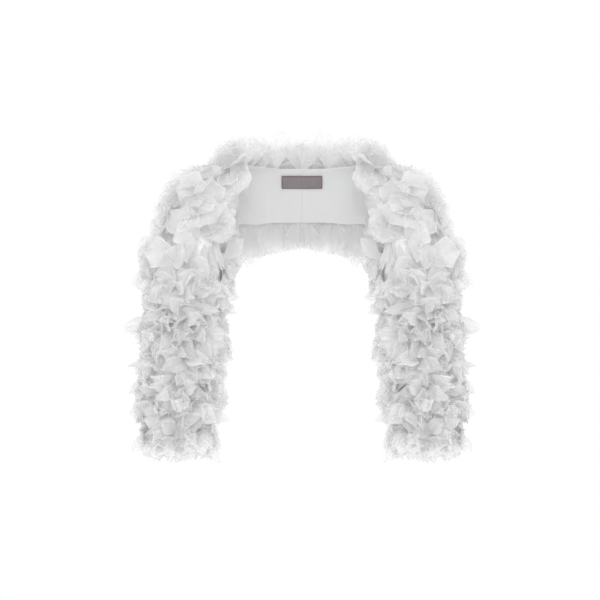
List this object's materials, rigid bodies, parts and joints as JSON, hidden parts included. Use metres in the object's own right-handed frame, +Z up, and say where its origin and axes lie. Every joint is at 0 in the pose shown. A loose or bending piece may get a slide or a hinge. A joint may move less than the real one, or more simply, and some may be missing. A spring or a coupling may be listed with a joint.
{
  "type": "bolero",
  "caption": "White bolero with a short lined back, open crescent fronts and three-quarter sleeves, covered in loose cloth petals; hollow, filled out as worn.",
  "frame": {"origin": "midway between the shoulders, on the line where the cloth rests on them", "axes": "+X to the wearer's left, +Y to the wearer's back, +Z up; the open front faces -Y"},
  "size_m": [0.5853, 0.2482, 0.567],
  "materials": {
    "petal": "semi-sheer matt cloth, crumpled",
    "base": "matt woven cloth",
    "lining": "smooth satin lining",
    "label": "woven ribbon"
  },
  "bodies": {
    "root": {"back": "base", "back_lining_left": "lining", "back_lining_right": "lining", "label": "label", "front_left": "base", "front_right": "base", "sleeve_left_outer": "base", "sleeve_left_under": "base", "sleeve_right_outer": "base", "sleeve_right_under": "base", "petal_row_back_1": "petal", "petal_row_back_2": "petal", "petal_row_back_3": "petal", "petal_row_back_4": "petal", "petal_row_front_left": "petal", "petal_row_front_right": "petal", "petal_row_left_01": "petal", "petal_row_left_02": "petal", "petal_row_left_03": "petal", "petal_row_left_04": "petal", "petal_row_left_05": "petal", "petal_row_left_06": "petal", "petal_row_left_07": "petal", "petal_row_left_08": "petal", "petal_row_left_09": "petal", "petal_row_left_10": "petal", "petal_row_left_11": "petal", "petal_row_right_01": "petal", "petal_row_right_02": "petal", "petal_row_right_03": "petal", "petal_row_right_04": "petal", "petal_row_right_05": "petal", "petal_row_right_06": "petal", "petal_row_right_07": "petal", "petal_row_right_08": "petal", "petal_row_right_09": "petal", "petal_row_right_10": "petal", "petal_row_right_11": "petal"}
  },
  "joints": []
}
